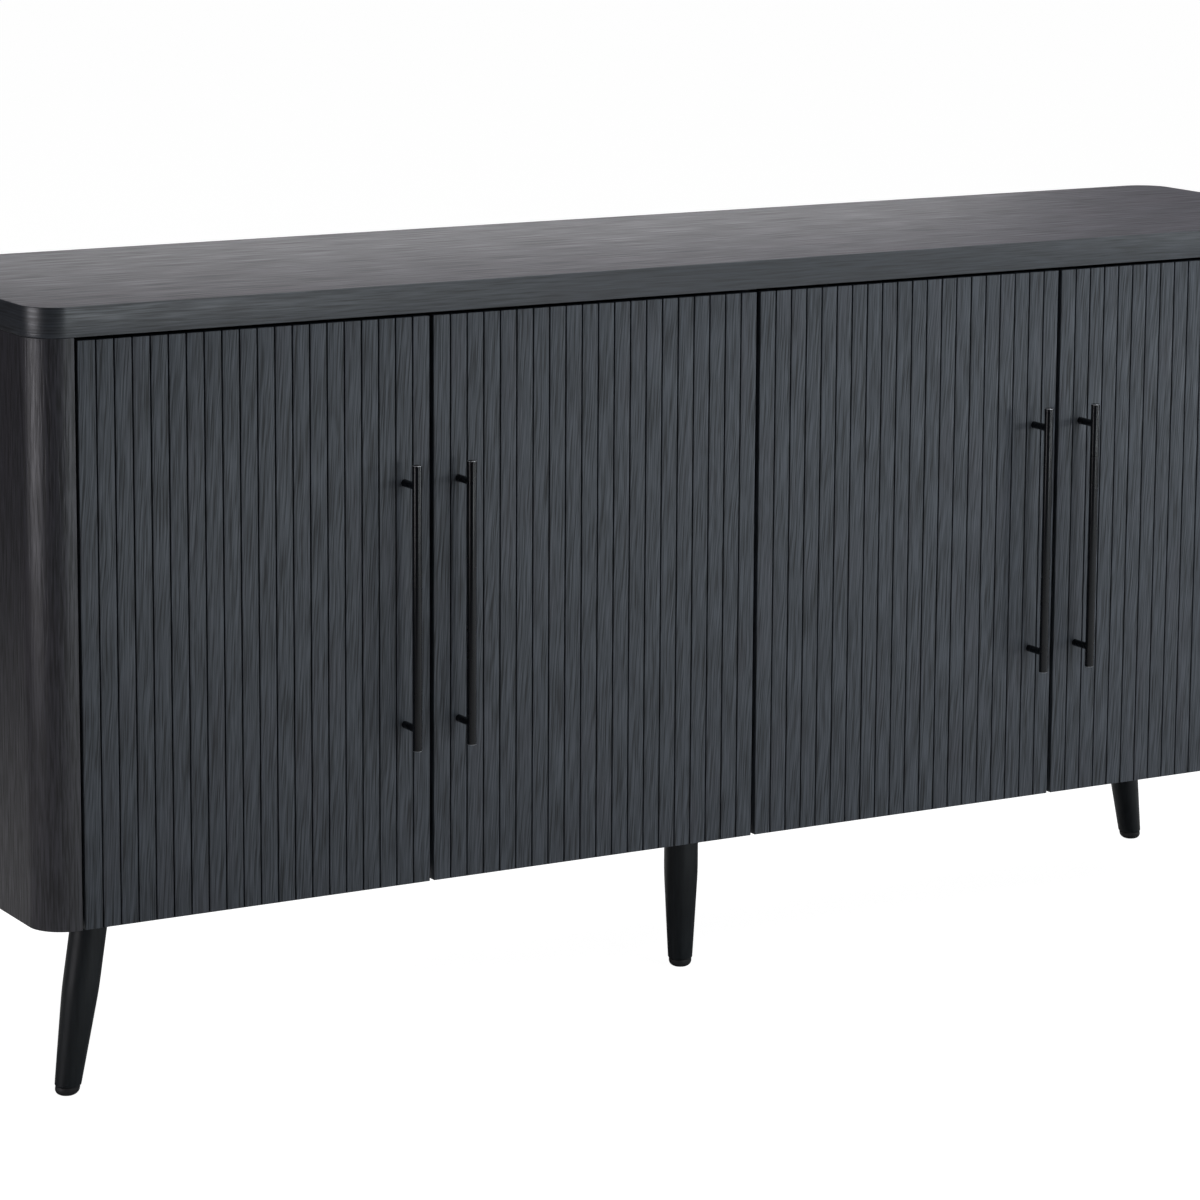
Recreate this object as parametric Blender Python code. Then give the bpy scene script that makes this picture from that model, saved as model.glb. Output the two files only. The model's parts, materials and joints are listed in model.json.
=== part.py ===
"""Four-door sideboard with slatted doors, bar pulls and five turned legs.

The sideboard stands on the floor at z = 0, with its front towards -Y and its width along X.
The origin is under the middle of its overall size, pulls included. Lengths are in metres.
Each hinged door hangs from an empty that lies on its hinge axis.
"""

import math

import bmesh
import bpy
from mathutils import Matrix

# Driving dimensions
WIDTH = 1.700
DEPTH = 0.430
HEIGHT = 0.835
CASE_BOTTOM = 0.190
TOP_THICKNESS = 0.0315
CORNER_RADIUS = 0.038
SLAT_PITCH = 0.0199
SLATS_PER_DOOR = 20
DOOR_THICKNESS = 0.020
DOOR_COUNT = 4
TOUCH_GAP = 0.0003

# Gaps round the doors
GAP_UNDER_TOP = 0.0035
GAP_AT_SIDE = 0.0033
GAP_BETWEEN_DOORS = 0.005
GAP_BEHIND_DOOR = 0.0025

# Slats
GROOVE_WIDTH = 0.0022
GROOVE_FLOOR_WIDTH = 0.0014
GROOVE_DEPTH = 0.0035

# Boards of the case
BOARD = 0.020
SHELF_THICKNESS = 0.018
BACK_THICKNESS = 0.006
BACK_INSET = 0.009
BACK_JOINT = 0.002
BOTTOM_RISE = 0.008
EDGE_CHAMFER = 0.0015
CORNER_STEPS = 8

# Bar pulls
PULL_LENGTH = 0.306
PULL_CENTRES = 0.260
PULL_BAR_RADIUS = 0.0050
PULL_POST_RADIUS = 0.0040
PULL_STAND_OFF = 0.029
PULL_CHAMFER = 0.0006
PULL_FROM_EDGE = 1.5 * SLAT_PITCH
BAR_SIDES = 20
POST_SIDES = 16

# Derived positions of the case
FRONT = (PULL_STAND_OFF + PULL_BAR_RADIUS - DEPTH) / 2
REAR = FRONT + DEPTH
UNDER_TOP = HEIGHT - TOP_THICKNESS
DOOR_TOP = UNDER_TOP - GAP_UNDER_TOP
DOOR_HEIGHT = DOOR_TOP - CASE_BOTTOM
DOOR_MIDDLE = (DOOR_TOP + CASE_BOTTOM) / 2
DOOR_WIDTH = SLATS_PER_DOOR * SLAT_PITCH
DOORS_SPAN = DOOR_COUNT * DOOR_WIDTH + (DOOR_COUNT - 1) * GAP_BETWEEN_DOORS
SIDE_THICKNESS = (WIDTH - DOORS_SPAN) / 2 - GAP_AT_SIDE
INSIDE_HALF_WIDTH = WIDTH / 2 - SIDE_THICKNESS
BOARD_FRONT = FRONT + DOOR_THICKNESS + GAP_BEHIND_DOOR
BACK_FACE = REAR - BACK_INSET
BOARD_REAR = BACK_FACE - BACK_THICKNESS - TOUCH_GAP
BOTTOM_UNDERSIDE = CASE_BOTTOM + BOTTOM_RISE
BOTTOM_TOP = BOTTOM_UNDERSIDE + BOARD

# Hinges: the axis stands just inside the door's front corner on its hinged edge
AXIS_INSET = 0.005
HINGE_FROM_END = 0.095
CUP_FROM_EDGE = 0.0225
CUP_RADIUS = 0.0175
CUP_BORE_DEPTH = 0.0118
CUP_DEPTH = 0.0115
CUP_WALL = 0.0012
CUP_FLANGE_RADIUS = 0.0200
CUP_FLANGE = 0.0010
CUP_SIDES = 24

# Hinge arms and their base plates. A run gives where a piece starts and ends behind the axis.
# The crank's points are measured from the axis: along the door's width, then backwards.
ARM_WIDTH = 0.012
ARM_METAL = 0.0024
ARM_RISE = 0.0055
ARM_RUN = (0.030, 0.070)
ARM_CRANK = ((0.0125, 0.0205), (0.0180, 0.0145), (0.0192, 0.0080))
BLOCK_RUN = (0.036, 0.068)
BLOCK_WIDTH = 0.010
PLATE_RUN = (0.040, 0.060)
PLATE_METAL = 0.0020
PLATE_HEIGHT = 0.044

# Soft bumpers on the doors' backs, which meet the bottom panel's front edge
BUMPER_RADIUS = 0.0045
BUMPER_THICKNESS = 0.0019
BUMPER_CHAMFER = 0.0006
BUMPER_FROM_EDGE = 0.030
BUMPER_SIDES = 16

# Legs
LEG_RADIUS = 0.0195
LEG_TIP_RADIUS = 0.0140
LEG_TAPER_START = 0.112
LEG_SIDES = 24
GLIDE_HEIGHT = 0.0100
GLIDE_RADIUS = 0.0130
GLIDE_FOOT_RADIUS = 0.0050
GLIDE_DOME = 0.0070
GLIDE_DOME_STEPS = 3
GLIDE_SIDES = 20
LEG_TIP_FROM_SIDE = 0.045
LEG_TIP_FROM_FACE = 0.054
LEG_SPLAY = 0.030
CENTRE_LEG_FROM_FRONT = 0.155
LEG_PLATE_SIDE = 0.056
LEG_PLATE_METAL = 0.003
LEG_PLATE_CORNER = 0.006
LEG_PLATE_CORNER_STEPS = 3
LEG_TOP = BOTTOM_UNDERSIDE - LEG_PLATE_METAL - 2 * TOUCH_GAP

# Shelves and their pins
SHELF_UNDERSIDE = (BOTTOM_TOP + UNDER_TOP - SHELF_THICKNESS) / 2
SHELF_FRONT = FRONT + 0.045
SHELF_END_GAP = 0.0012
PIN_RADIUS = 0.0025
PIN_LENGTH = 0.016
PIN_SEAT = 0.0070
PIN_HOLE_RADIUS = 0.0029
PIN_HOLE_DEPTH = 0.0080
PIN_FROM_SHELF_FRONT = 0.045
PIN_FROM_SHELF_REAR = 0.050
PIN_HOLE_STEP = 0.064
PIN_SIDES = 12
PIN_Z = SHELF_UNDERSIDE - TOUCH_GAP - PIN_RADIUS
PIN_ROWS = (SHELF_FRONT + PIN_FROM_SHELF_FRONT, BOARD_REAR - PIN_FROM_SHELF_REAR)


def clear_scene():
    for item in list(bpy.data.objects):
        bpy.data.objects.remove(item, do_unlink=True)


def finish(name, colour, roughness, metallic=0.0):
    material = bpy.data.materials.new(name)
    material.use_nodes = True
    shader = material.node_tree.nodes["Principled BSDF"]
    shader.inputs["Base Color"].default_value = (*colour, 1.0)
    shader.inputs["Roughness"].default_value = roughness
    shader.inputs["Metallic"].default_value = metallic
    return material


def place(name, bm, material, location=(0, 0, 0), parent=None):
    """Turns a bmesh into a named object, facing outwards and smooth where it is round."""
    bmesh.ops.recalc_face_normals(bm, faces=bm.faces)
    mesh = bpy.data.meshes.new(name)
    bm.to_mesh(mesh)
    bm.free()
    mesh.shade_smooth()
    mesh.set_sharp_from_angle(angle=math.radians(35))
    mesh.materials.append(material)
    piece = bpy.data.objects.new(name, mesh)
    piece.location = location
    piece.parent = parent
    bpy.context.scene.collection.objects.link(piece)
    return piece


def join_or_cut(piece, tool, operation):
    """Applies a hidden tool shape to a piece with an exact Boolean."""
    tool.hide_render = True
    tool.display_type = "WIRE"
    modifier = piece.modifiers.new(operation.title(), "BOOLEAN")
    modifier.solver = "EXACT"
    modifier.operation = operation
    modifier.object = tool


def arc(centre, radius, start, end, steps):
    """Points along an arc, angles in degrees counted anticlockwise from +X."""
    angles = [math.radians(start + (end - start) * i / steps) for i in range(steps + 1)]
    return [(centre[0] + radius * math.cos(a), centre[1] + radius * math.sin(a)) for a in angles]


def rectangle(x_low, x_high, y_low, y_high):
    return [(x_low, y_low), (x_high, y_low), (x_high, y_high), (x_low, y_high)]


def prism(outline, low, high):
    """Closed upright body over a plan outline."""
    bm = bmesh.new()
    floor = [bm.verts.new((x, y, low)) for x, y in outline]
    roof = [bm.verts.new((x, y, high)) for x, y in outline]
    bm.faces.new(list(reversed(floor)))
    bm.faces.new(roof)
    for i in range(len(outline)):
        j = (i + 1) % len(outline)
        bm.faces.new((floor[i], floor[j], roof[j], roof[i]))
    return bm


def turned(profile, steps):
    """Closed body of revolution about Z, through (radius, height) points."""
    bm = bmesh.new()
    rings = []
    for radius, height in profile:
        turn = [2 * math.pi * i / steps for i in range(steps)]
        rings.append([bm.verts.new((radius * math.cos(a), radius * math.sin(a), height)) for a in turn])
    for lower, upper in zip(rings, rings[1:]):
        for i in range(steps):
            j = (i + 1) % steps
            bm.faces.new((lower[i], lower[j], upper[j], upper[i]))
    bm.faces.new(list(reversed(rings[0])))
    bm.faces.new(rings[-1])
    return bm


def rods(places, radius, length, steps, turn):
    """One mesh holding a rod for each place; a rod starts there and runs along the turned Z axis."""
    bm = bmesh.new()
    for spot in places:
        rod = turned([(radius, 0.0), (radius, length)], steps)
        bmesh.ops.transform(rod, matrix=turn, verts=rod.verts)
        bmesh.ops.translate(rod, vec=spot, verts=rod.verts)
        part = bpy.data.meshes.new("rod")
        rod.to_mesh(part)
        rod.free()
        bm.from_mesh(part)
        bpy.data.meshes.remove(part)
    return bm


def rotation(axis, degrees):
    return Matrix.Rotation(math.radians(degrees), 4, axis)


def make_top(oak):
    half, r = WIDTH / 2, CORNER_RADIUS
    outline = arc((half - r, FRONT + r), r, -90, 0, CORNER_STEPS)
    outline += arc((half - r, REAR - r), r, 0, 90, CORNER_STEPS)
    outline += arc((-half + r, REAR - r), r, 90, 180, CORNER_STEPS)
    outline += arc((-half + r, FRONT + r), r, 180, 270, CORNER_STEPS)
    top = place("top_panel", prism(outline, UNDER_TOP, HEIGHT), oak)
    soften(top)


def soften(piece):
    bevel = piece.modifiers.new("Edge", "BEVEL")
    bevel.width = EDGE_CHAMFER
    bevel.segments = 1
    bevel.limit_method = "ANGLE"
    bevel.angle_limit = math.radians(60)


def make_side(name, side, oak):
    """Side panel with both outer corners rounded; side is -1 on the left and 1 on the right."""
    outer, inner, r = WIDTH / 2, INSIDE_HALF_WIDTH, CORNER_RADIUS
    outline = [(inner, REAR), (inner, FRONT)]
    outline += arc((outer - r, FRONT + r), r, -90, 0, CORNER_STEPS)
    outline += arc((outer - r, REAR - r), r, 0, 90, CORNER_STEPS)
    outline = [(side * x, y) for x, y in outline]
    panel = place(name, prism(outline, CASE_BOTTOM, UNDER_TOP - TOUCH_GAP), oak)
    drill_pin_holes(panel, [(side * inner, side)])


def drill_pin_holes(panel, faces):
    """Drills the shelf-pin holes; each face is its X and the direction in which the holes go."""
    for x, way in faces:
        start = x - way * PIN_HOLE_DEPTH
        spots = [(start, y, PIN_Z + step * PIN_HOLE_STEP) for y in PIN_ROWS for step in (-1, 0, 1)]
        drill = rods(spots, PIN_HOLE_RADIUS, 2 * PIN_HOLE_DEPTH, PIN_SIDES, rotation("Y", 90 * way))
        tool_name = panel.name + ("_drill_right" if way > 0 else "_drill_left")
        tool = place(tool_name, drill, panel.data.materials[0])
        join_or_cut(panel, tool, "DIFFERENCE")


def make_boards(dark, back):
    """Bottom panel, centre partition, two back panels and two shelves."""
    half_clear = INSIDE_HALF_WIDTH - TOUCH_GAP
    roof = UNDER_TOP - TOUCH_GAP
    bottom = rectangle(-half_clear, half_clear, BOARD_FRONT, BOARD_REAR)
    place("bottom_panel", prism(bottom, BOTTOM_UNDERSIDE, BOTTOM_TOP), dark)
    upright = rectangle(-BOARD / 2, BOARD / 2, BOARD_FRONT, BOARD_REAR)
    partition = place("centre_partition", prism(upright, BOTTOM_TOP + TOUCH_GAP, roof), dark)
    drill_pin_holes(partition, [(BOARD / 2, -1), (-BOARD / 2, 1)])
    for name, side in (("left", -1), ("right", 1)):
        ends = sorted((side * BACK_JOINT / 2, side * half_clear))
        sheet = rectangle(*ends, BACK_FACE - BACK_THICKNESS, BACK_FACE)
        place("back_panel_" + name, prism(sheet, BOTTOM_UNDERSIDE, roof), back)
        ends = sorted((side * (BOARD / 2 + SHELF_END_GAP), side * (INSIDE_HALF_WIDTH - SHELF_END_GAP)))
        shelf = rectangle(*ends, SHELF_FRONT, BOARD_REAR - SHELF_END_GAP)
        place("shelf_" + name, prism(shelf, SHELF_UNDERSIDE, SHELF_UNDERSIDE + SHELF_THICKNESS), dark)


def make_shelf_pins(steel):
    """Four pins carry each shelf: two in the side panel and two in the partition."""
    for name, side in (("left", -1), ("right", 1)):
        for wall, x, way in (("inner", side * BOARD / 2, side), ("outer", side * INSIDE_HALF_WIDTH, -side)):
            for row, y in zip(("front", "rear"), PIN_ROWS):
                rod = turned([(PIN_RADIUS, 0.0), (PIN_RADIUS, PIN_LENGTH)], PIN_SIDES)
                location = (x - way * PIN_SEAT, y, PIN_Z)
                pin = place(f"shelf_pin_{name}_{wall}_{row}", rod, steel, location)
                pin.rotation_euler.y = math.radians(90 * way)


def leg_profile():
    return [(LEG_TIP_RADIUS, GLIDE_HEIGHT + TOUCH_GAP), (LEG_RADIUS, LEG_TAPER_START), (LEG_RADIUS, LEG_TOP)]


def glide_profile():
    """Domed glide with a flat foot: a quarter ellipse from the foot up to the rim."""
    overhang = GLIDE_RADIUS - GLIDE_FOOT_RADIUS
    points = []
    for i in range(GLIDE_DOME_STEPS + 1):
        a = math.radians(90 * i / GLIDE_DOME_STEPS)
        points.append((GLIDE_FOOT_RADIUS + overhang * math.sin(a), GLIDE_DOME * (1 - math.cos(a))))
    return points + [(GLIDE_RADIUS, GLIDE_HEIGHT)]


def slant(bm, slope):
    """Leans an upright body along X, its sections staying level."""
    for vert in bm.verts:
        vert.co.x += slope * vert.co.z


def make_leg(name, x, y, slope, wood, steel, plastic):
    """Leg, its glide and its mounting plate; x and y are where the leg meets the floor."""
    leg = turned(leg_profile(), LEG_SIDES)
    slant(leg, slope)
    place("leg_" + name, leg, wood, (x, y, 0))
    glide = turned(glide_profile(), GLIDE_SIDES)
    slant(glide, slope)
    place("glide_" + name, glide, plastic, (x, y, 0))
    straight = LEG_PLATE_SIDE / 2 - LEG_PLATE_CORNER
    outline = []
    for cx, cy, start in ((1, -1, -90), (1, 1, 0), (-1, 1, 90), (-1, -1, 180)):
        centre = (cx * straight, cy * straight)
        outline += arc(centre, LEG_PLATE_CORNER, start, start + 90, LEG_PLATE_CORNER_STEPS)
    low = LEG_TOP + TOUCH_GAP
    plate = prism(outline, low, low + LEG_PLATE_METAL)
    place("leg_plate_" + name, plate, steel, (x + slope * LEG_TOP, y, 0))


def make_legs(wood, steel, plastic):
    tip_x = WIDTH / 2 - LEG_TIP_FROM_SIDE
    slope = LEG_SPLAY / LEG_TOP
    for depth_name, y in (("front", FRONT + LEG_TIP_FROM_FACE), ("rear", REAR - LEG_TIP_FROM_FACE)):
        make_leg(depth_name + "_left", -tip_x, y, slope, wood, steel, plastic)
        make_leg(depth_name + "_right", tip_x, y, -slope, wood, steel, plastic)
    make_leg("centre", 0.0, FRONT + CENTRE_LEG_FROM_FRONT, 0.0, wood, steel, plastic)


def slatted_outline():
    """Plan outline of a door from its hinge axis: a grooved front and a plain back."""
    left, right = -AXIS_INSET, DOOR_WIDTH - AXIS_INSET
    face, rear = -AXIS_INSET, DOOR_THICKNESS - AXIS_INSET
    outline = [(left, face)]
    for k in range(1, SLATS_PER_DOOR):
        centre = left + k * SLAT_PITCH
        outline.append((centre - GROOVE_WIDTH / 2, face))
        outline.append((centre - GROOVE_FLOOR_WIDTH / 2, face + GROOVE_DEPTH))
        outline.append((centre + GROOVE_FLOOR_WIDTH / 2, face + GROOVE_DEPTH))
        outline.append((centre + GROOVE_WIDTH / 2, face))
    return outline + [(right, face), (right, rear), (left, rear)]


def hinge_heights():
    reach = DOOR_HEIGHT / 2 - HINGE_FROM_END
    return (("lower", -reach), ("upper", reach))


def make_door(number, way, oak, black, steel, soft):
    """Door with its pull, hinge cups and bumper; way is 1 when the door's hinges are on its left."""
    first = -DOORS_SPAN / 2 + (number - 1) * (DOOR_WIDTH + GAP_BETWEEN_DOORS)
    hinged_edge = first if way > 0 else first + DOOR_WIDTH
    axis = bpy.data.objects.new(f"door_{number}_hinge_axis", None)
    axis.location = (hinged_edge + way * AXIS_INSET, FRONT + AXIS_INSET, DOOR_MIDDLE)
    bpy.context.scene.collection.objects.link(axis)
    outline = [(way * u, v) for u, v in slatted_outline()]
    door = place(f"door_{number}", prism(outline, -DOOR_HEIGHT / 2, DOOR_HEIGHT / 2), oak, parent=axis)
    bore_cup_holes(door, way, axis)
    make_pull(number, way, black, axis)
    make_bumper(number, way, soft, axis)
    for level, z in hinge_heights():
        make_hinge_cup(f"hinge_cup_{number}_{level}", way, z, steel, axis)
        location = (axis.location.x, axis.location.y, axis.location.z + z)
        make_hinge_arm(f"hinge_arm_{number}_{level}", mounting_face(number), way, location, steel)


def make_bumper(number, way, soft, axis):
    """Round self-adhesive bumper low on the door's back, near its free edge."""
    u = way * (DOOR_WIDTH - AXIS_INSET - BUMPER_FROM_EDGE)
    v = DOOR_THICKNESS - AXIS_INSET + TOUCH_GAP
    z = BOTTOM_UNDERSIDE + BOARD / 2 - DOOR_MIDDLE
    profile = [
        (BUMPER_RADIUS, 0.0),
        (BUMPER_RADIUS, BUMPER_THICKNESS - BUMPER_CHAMFER),
        (BUMPER_RADIUS - 2 * BUMPER_CHAMFER, BUMPER_THICKNESS),
    ]
    bumper = place(f"door_bumper_{number}", turned(profile, BUMPER_SIDES), soft, (u, v, z), axis)
    bumper.rotation_euler.x = math.radians(-90)


def cup_centre(way):
    return way * (CUP_FROM_EDGE - AXIS_INSET)


def bore_cup_holes(door, way, axis):
    rear = DOOR_THICKNESS - AXIS_INSET
    spots = [(cup_centre(way), rear - CUP_BORE_DEPTH, z) for _, z in hinge_heights()]
    radius = CUP_RADIUS + TOUCH_GAP
    bores = rods(spots, radius, 2 * CUP_BORE_DEPTH, CUP_SIDES, rotation("X", -90))
    tool = place(door.name + "_cup_bores", bores, door.data.materials[0], parent=axis)
    join_or_cut(door, tool, "DIFFERENCE")


def make_hinge_cup(name, way, z, steel, axis):
    """Open steel cup pressed into the back of the door, with a flange on the surface."""
    inner = CUP_RADIUS - CUP_WALL
    flange_low = CUP_DEPTH + TOUCH_GAP
    flange_high = flange_low + CUP_FLANGE
    profile = [
        (CUP_RADIUS, 0.0),
        (CUP_RADIUS, flange_low),
        (CUP_FLANGE_RADIUS, flange_low),
        (CUP_FLANGE_RADIUS, flange_high),
        (inner, flange_high),
        (inner, CUP_WALL),
    ]
    floor = DOOR_THICKNESS - AXIS_INSET - CUP_DEPTH
    cup = place(name, turned(profile, CUP_SIDES), steel, (cup_centre(way), floor, z), axis)
    cup.rotation_euler.x = math.radians(-90)


def ribbon(path, width):
    """Outline of a flat strip of even width that follows a path of plan points."""
    left, right = [], []
    for i, (x, y) in enumerate(path):
        before, after = path[max(i - 1, 0)], path[min(i + 1, len(path) - 1)]
        run, rise = after[0] - before[0], after[1] - before[1]
        scale = width / 2 / math.hypot(run, rise)
        left.append((x - rise * scale, y + run * scale))
        right.append((x + rise * scale, y - run * scale))
    return left + right[::-1]


def mounting_face(number):
    """Where the case's face that carries a door's hinges lies, from the axis along the door's width."""
    if number in (1, DOOR_COUNT):
        return -(GAP_AT_SIDE + AXIS_INSET)
    return BOARD / 2 - GAP_BETWEEN_DOORS / 2 - AXIS_INSET


def make_hinge_arm(name, face, way, location, steel):
    """Cranked arm and base plate on the case, reaching round the door's edge into its cup."""
    line = face + ARM_RISE
    foot = face + TOUCH_GAP
    path = [(line, ARM_RUN[1]), (line, ARM_RUN[0]), *ARM_CRANK]
    outline = [(way * u, v) for u, v in ribbon(path, ARM_METAL)]
    arm = place(name, prism(outline, -ARM_WIDTH / 2, ARM_WIDTH / 2), steel, location)
    for part, top, run, width in (
        ("block", line, BLOCK_RUN, BLOCK_WIDTH),
        ("plate", foot + PLATE_METAL, PLATE_RUN, PLATE_HEIGHT),
    ):
        ends = sorted((way * foot, way * top))
        tool = place(f"{name}_{part}", prism(rectangle(*ends, *run), -width / 2, width / 2), steel, location)
        join_or_cut(arm, tool, "UNION")


def make_pull(number, way, black, axis):
    """Upright bar on two posts, centred on the second slat from the door's free edge."""
    u = way * (DOOR_WIDTH - AXIS_INSET - PULL_FROM_EDGE)
    half = PULL_LENGTH / 2
    profile = [
        (PULL_BAR_RADIUS - PULL_CHAMFER, -half),
        (PULL_BAR_RADIUS, -half + PULL_CHAMFER),
        (PULL_BAR_RADIUS, half - PULL_CHAMFER),
        (PULL_BAR_RADIUS - PULL_CHAMFER, half),
    ]
    location = (u, -AXIS_INSET - PULL_STAND_OFF, 0)
    pull = place(f"pull_{number}", turned(profile, BAR_SIDES), black, location, axis)
    reach = PULL_STAND_OFF - TOUCH_GAP
    spots = [(0, 0, -PULL_CENTRES / 2), (0, 0, PULL_CENTRES / 2)]
    posts = rods(spots, PULL_POST_RADIUS, reach, POST_SIDES, rotation("X", -90))
    tool = place(f"pull_{number}_posts", posts, black, location, axis)
    join_or_cut(pull, tool, "UNION")


def main():
    clear_scene()
    oak = finish("charcoal_oak", (0.052, 0.052, 0.060), 0.55)
    dark = finish("inner_board", (0.045, 0.045, 0.050), 0.60)
    back = finish("back_board", (0.060, 0.060, 0.064), 0.70)
    leg_wood = finish("black_wood", (0.020, 0.021, 0.024), 0.40)
    black = finish("black_metal", (0.016, 0.016, 0.018), 0.35, 1.0)
    steel = finish("plated_steel", (0.62, 0.62, 0.60), 0.30, 1.0)
    plastic = finish("glide_plastic", (0.030, 0.030, 0.032), 0.50)
    soft = finish("bumper_rubber", (0.045, 0.045, 0.045), 0.60)
    make_top(oak)
    make_side("side_panel_left", -1, oak)
    make_side("side_panel_right", 1, oak)
    make_boards(dark, back)
    make_shelf_pins(steel)
    make_legs(leg_wood, steel, plastic)
    for number, way in ((1, 1), (2, -1), (3, 1), (4, -1)):
        make_door(number, way, oak, black, steel, soft)
    bpy.context.view_layer.update()


main()
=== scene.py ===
"""Looks of a four-door slatted sideboard in charcoal oak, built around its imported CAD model.

Every wooden mesh carries a UV map named Grain, in metres: U runs across the grain and V along it.
"""

import json
import math
import random

import bmesh
import bpy
from mathutils import Matrix, Vector


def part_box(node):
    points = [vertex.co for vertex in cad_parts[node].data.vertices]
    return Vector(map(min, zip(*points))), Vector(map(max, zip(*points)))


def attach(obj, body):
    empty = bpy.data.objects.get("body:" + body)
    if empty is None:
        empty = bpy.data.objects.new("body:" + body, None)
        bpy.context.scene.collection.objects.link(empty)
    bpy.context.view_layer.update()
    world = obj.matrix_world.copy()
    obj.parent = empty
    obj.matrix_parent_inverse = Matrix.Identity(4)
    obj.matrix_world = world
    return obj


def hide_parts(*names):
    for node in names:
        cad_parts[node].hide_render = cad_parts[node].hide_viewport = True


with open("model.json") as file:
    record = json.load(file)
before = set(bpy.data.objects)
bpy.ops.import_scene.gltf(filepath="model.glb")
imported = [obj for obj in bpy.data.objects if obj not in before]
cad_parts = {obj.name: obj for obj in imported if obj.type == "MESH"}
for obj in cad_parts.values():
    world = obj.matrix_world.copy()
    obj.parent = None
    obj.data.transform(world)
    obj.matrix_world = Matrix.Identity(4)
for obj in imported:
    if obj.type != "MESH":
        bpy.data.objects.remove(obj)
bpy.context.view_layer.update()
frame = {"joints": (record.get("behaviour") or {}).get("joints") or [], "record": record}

# Camera
CAMERA_POSITION = (-2.528, -4.255, 1.435)
CAMERA_YAW = 29.86
CAMERA_PITCH = -9.71
CAMERA_ROLL = 0.31
CAMERA_LENS = 132.4
CAMERA_SHIFT = -0.12

# Case
CORNER_RADIUS = 0.038
TOP_ARRIS = 0.0008
SIDE_ARRIS = 0.0005
BOARD_ARRIS = 0.0006
TOP_SEAM = 0.00005
PIN_HOLE_RADIUS = 0.0027
PIN_HOLE_DEPTH = 0.0080
PIN_HOLE_STEP = 0.064

# Pins of the back panels, their heads as (radius, height) points
PANEL_PIN_DOME = ((0.0021, 0.0), (0.0019, 0.0004), (0.0011, 0.0008), (0.0003, 0.0009))
PANEL_PIN_MARGIN = 0.010
PANEL_PIN_SPACING = 0.110

# Shelf pins: where the collar starts and ends, and the tip as steps in from the pin's side and end
SHELF_PIN_CHAMFER = 0.0004
SHELF_PIN_COLLAR = (0.0072, 0.0082)
SHELF_PIN_LIP = 0.0011
SHELF_PIN_TIP = ((0.0, 0.0008), (0.0003, 0.0002), (0.0009, 0.0))

# Screw heads, as radius and height
SMALL_SCREW = (0.0030, 0.0011)
PAN_SCREW = (0.0036, 0.0014)
RECESS_ARRIS = 0.00001

# Doors
SLATS = 20
GROOVE_FLOOR = 0.0014
GROOVE_DEPTH = 0.0034
GROOVE_SLOPE = 0.0001
SLAT_ARRIS = 0.00045
DOOR_ARRIS = 0.0008
DOOR_END_ARRIS = 0.0005
BUMPER_DOME = 0.0009
BUMPER_FLAT = 0.35

# Pulls
POST_CENTRES = 0.260
POST_RADIUS = 0.0040
BAR_CHAMFER = 0.0006

# Hinges, measured from the hinge axis or from a cup's centre
CUP_RADIUS = 0.0175
CUP_WALL = 0.0012
CUP_DEPTH = 0.0114
CUP_FOOT_CHAMFER = 0.0010
CUP_FLOOR_RADIUS = 0.0020
BORE_GAP = 0.0002
BORE_FLOOR_GAP = 0.0003
FLANGE_RADIUS = 0.0200
FLANGE_METAL = 0.0009
FLANGE_ARRIS = 0.0003
FLANGE_LIFT = 0.0002
FLANGE_SCREW_SINK = 0.0003
WING_HALF_WIDTH = 0.0075
WING_CENTRE = 0.0240
LEFT_HUNG_DOORS = (1, 3)
ARM_METAL = 0.0024
ARM_RUN = (0.030, 0.070)
ARM_CRANK = ((0.0125, 0.0205), (0.0180, 0.0145), (0.0192, 0.0080))
ARM_WIDTH = 0.012
ARM_RISE = 0.0052
ARM_ARRIS = 0.0004
ARM_SCREW_MARGIN = 0.007
BLOCK_RUN = (0.036, 0.068)
BLOCK_WIDTH = 0.010
BLOCK_CORNER_RADIUS = 0.0005
PLATE_RUN = (0.040, 0.060)
PLATE_METAL = 0.0020
PLATE_HEIGHT = 0.044
PLATE_SCREW_OFFSET = 0.016

# Legs
LEG_RADIUS = 0.0195
LEG_TIP_RADIUS = 0.0140
LEG_TIP_EASE = (0.0008, 0.0010)
LEG_TAPER_START = 0.112
LEG_TAPER_BLEND = 0.012
GLIDE_RADIUS = 0.0130
GLIDE_FOOT_RADIUS = 0.0050
GLIDE_DOME = 0.0070
RIM_EASE = 0.0006
LEG_PLATE_CORNER_RADIUS = 0.006
LEG_PLATE_ARRIS = 0.0005
LEG_PLATE_SCREW_MARGIN = 0.008

# Oak: each layer's share of the tone, the browner stain as a tint of the light wood, and the span
# of the grain field in metres, over which the pieces take their own stretches of it
FIBRE_WEIGHT = 2.8
PATCH_WEIGHT = 0.06
PORE_WEIGHT = 0.38
MIDDLE_TONE = 0.60
BROWN_TINT = (0.92, 0.76, 0.78)
GRAIN_SPAN = 40.0

# Light colours
COOL_LIGHT = (0.90, 0.96, 1.0)
ROSY_LIGHT = (0.97, 0.95, 1.0)

# Floor and surround: the floor's reach, where it brightens along X, how much light they throw on
# the object, and how bright the camera sees the floor
FLOOR_REACH = 120.0
FLOOR_FADE = (-2.1, -0.75)
FLOOR_THROWN = (0.06, 0.68)
FLOOR_SEEN = 0.20
FLOOR_GLOW = 0.98
WORLD_THROWN = 0.05

rng = random.Random(7)
body_of = {node: body for body, nodes in frame["record"]["behaviour"]["bodies"].items() for node in nodes}
foot_of = {mount["name"]: mount["pos_m"] for mount in frame["record"]["mounts"]}


# ---------------------------------------------------------------- materials


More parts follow.
